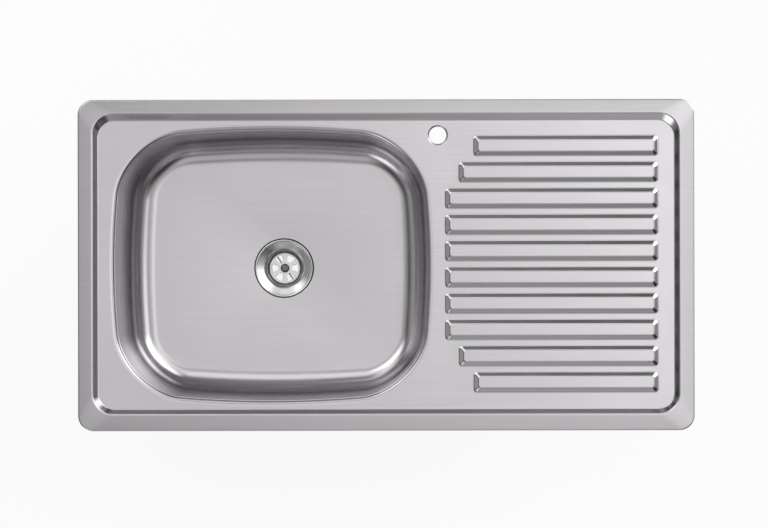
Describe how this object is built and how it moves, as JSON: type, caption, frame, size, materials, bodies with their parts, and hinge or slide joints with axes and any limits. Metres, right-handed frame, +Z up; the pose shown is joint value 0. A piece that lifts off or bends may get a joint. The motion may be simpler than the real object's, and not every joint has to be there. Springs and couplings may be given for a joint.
{
  "type": "inset kitchen sink",
  "caption": "Pressed steel inset kitchen sink with a rounded bowl, ribbed drainer, tap hole, strainer waste and screw clamps under its rim.",
  "frame": {"origin": "centre of the worktop cut-out, on the worktop's top surface", "axes": "+X along the sink from the bowl to the drainer, +Y to the rear where the tap hole is, +Z up"},
  "size_m": [0.8, 0.43, 0.2362],
  "materials": {
    "satin_steel": "satin, finely brushed along the sink",
    "polished_steel": "polished",
    "zinc_steel": "zinc plated",
    "foam": "closed-cell foam strip",
    "rubber": "moulded rubber",
    "white_plastic": "moulded polypropylene",
    "brass": "machined"
  },
  "bodies": {
    "sink": {"deck_pressing": "satin_steel", "bowl_pressing": "satin_steel", "sound_pad": "rubber", "seal_strip_front": "foam", "fixing_strip_front": "zinc_steel", "seal_strip_rear": "foam", "fixing_strip_rear": "zinc_steel", "seal_strip_left": "foam", "fixing_strip_left": "zinc_steel", "seal_strip_right": "foam", "fixing_strip_right": "zinc_steel", "clip_bracket_1": "zinc_steel", "clip_bracket_2": "zinc_steel", "clip_bracket_3": "zinc_steel", "clip_bracket_4": "zinc_steel", "clip_bracket_5": "zinc_steel", "clip_bracket_6": "zinc_steel", "clip_bracket_7": "zinc_steel", "clip_bracket_8": "zinc_steel", "waste_flange": "polished_steel", "waste_top_gasket": "rubber", "waste_lower_gasket": "rubber", "waste_body": "white_plastic", "waste_insert": "brass"},
    "claw_1": {"clip_claw_1": "zinc_steel"},
    "screw_1": {"clip_screw_1": "zinc_steel"},
    "claw_2": {"clip_claw_2": "zinc_steel"},
    "screw_2": {"clip_screw_2": "zinc_steel"},
    "claw_3": {"clip_claw_3": "zinc_steel"},
    "screw_3": {"clip_screw_3": "zinc_steel"},
    "claw_4": {"clip_claw_4": "zinc_steel"},
    "screw_4": {"clip_screw_4": "zinc_steel"},
    "claw_5": {"clip_claw_5": "zinc_steel"},
    "screw_5": {"clip_screw_5": "zinc_steel"},
    "claw_6": {"clip_claw_6": "zinc_steel"},
    "screw_6": {"clip_screw_6": "zinc_steel"},
    "claw_7": {"clip_claw_7": "zinc_steel"},
    "screw_7": {"clip_screw_7": "zinc_steel"},
    "claw_8": {"clip_claw_8": "zinc_steel"},
    "screw_8": {"clip_screw_8": "zinc_steel"},
    "washer": {"waste_washer": "polished_steel"},
    "centre_screw": {"waste_screw": "polished_steel"}
  },
  "joints": [
    {"name": "clip_1_lift", "type": "slide", "parent": "sink", "child": "claw_1", "axis": [0, 0, 1], "range_m": [0, 0.016]},
    {"name": "clip_1_turn", "type": "hinge", "parent": "claw_1", "child": "screw_1", "pos_m": [-0.28, -0.19, -0.035], "axis": [0, 0, 1], "range_deg": [0, 7200]},
    {"name": "clip_2_lift", "type": "slide", "parent": "sink", "child": "claw_2", "axis": [0, 0, 1], "range_m": [0, 0.016]},
    {"name": "clip_2_turn", "type": "hinge", "parent": "claw_2", "child": "screw_2", "pos_m": [0, -0.19, -0.035], "axis": [0, 0, 1], "range_deg": [0, 7200]},
    {"name": "clip_3_lift", "type": "slide", "parent": "sink", "child": "claw_3", "axis": [0, 0, 1], "range_m": [0, 0.016]},
    {"name": "clip_3_turn", "type": "hinge", "parent": "claw_3", "child": "screw_3", "pos_m": [0.28, -0.19, -0.035], "axis": [0, 0, 1], "range_deg": [0, 7200]},
    {"name": "clip_4_lift", "type": "slide", "parent": "sink", "child": "claw_4", "axis": [0, 0, 1], "range_m": [0, 0.016]},
    {"name": "clip_4_turn", "type": "hinge", "parent": "claw_4", "child": "screw_4", "pos_m": [0.375, 0, -0.035], "axis": [0, 0, 1], "range_deg": [0, 7200]},
    {"name": "clip_5_lift", "type": "slide", "parent": "sink", "child": "claw_5", "axis": [0, 0, 1], "range_m": [0, 0.016]},
    {"name": "clip_5_turn", "type": "hinge", "parent": "claw_5", "child": "screw_5", "pos_m": [0.28, 0.19, -0.035], "axis": [0, 0, 1], "range_deg": [0, 7200]},
    {"name": "clip_6_lift", "type": "slide", "parent": "sink", "child": "claw_6", "axis": [0, 0, 1], "range_m": [0, 0.016]},
    {"name": "clip_6_turn", "type": "hinge", "parent": "claw_6", "child": "screw_6", "pos_m": [0, 0.19, -0.035], "axis": [0, 0, 1], "range_deg": [0, 7200]},
    {"name": "clip_7_lift", "type": "slide", "parent": "sink", "child": "claw_7", "axis": [0, 0, 1], "range_m": [0, 0.016]},
    {"name": "clip_7_turn", "type": "hinge", "parent": "claw_7", "child": "screw_7", "pos_m": [-0.28, 0.19, -0.035], "axis": [0, 0, 1], "range_deg": [0, 7200]},
    {"name": "clip_8_lift", "type": "slide", "parent": "sink", "child": "claw_8", "axis": [0, 0, 1], "range_m": [0, 0.016]},
    {"name": "clip_8_turn", "type": "hinge", "parent": "claw_8", "child": "screw_8", "pos_m": [-0.375, 0, -0.035], "axis": [0, 0, 1], "range_deg": [0, 7200]},
    {"name": "waste_washer_lift", "type": "slide", "parent": "sink", "child": "washer", "axis": [0, 0, 1], "range_m": [0, 0.012]},
    {"name": "waste_screw_turn", "type": "hinge", "parent": "washer", "child": "centre_screw", "pos_m": [-0.139, -0.004, -0.19], "axis": [0, 0, 1], "range_deg": [0, 4320]}
  ],
  "couplings": [
    {"joint": "clip_1_turn", "follows": "clip_1_lift", "rad_per_m": 7853.9},
    {"joint": "clip_2_turn", "follows": "clip_2_lift", "rad_per_m": 7853.9},
    {"joint": "clip_3_turn", "follows": "clip_3_lift", "rad_per_m": 7853.9},
    {"joint": "clip_4_turn", "follows": "clip_4_lift", "rad_per_m": 7853.9},
    {"joint": "clip_5_turn", "follows": "clip_5_lift", "rad_per_m": 7853.9},
    {"joint": "clip_6_turn", "follows": "clip_6_lift", "rad_per_m": 7853.9},
    {"joint": "clip_7_turn", "follows": "clip_7_lift", "rad_per_m": 7853.9},
    {"joint": "clip_8_turn", "follows": "clip_8_lift", "rad_per_m": 7853.9},
    {"joint": "waste_screw_turn", "follows": "waste_washer_lift", "rad_per_m": 6283.1}
  ]
}
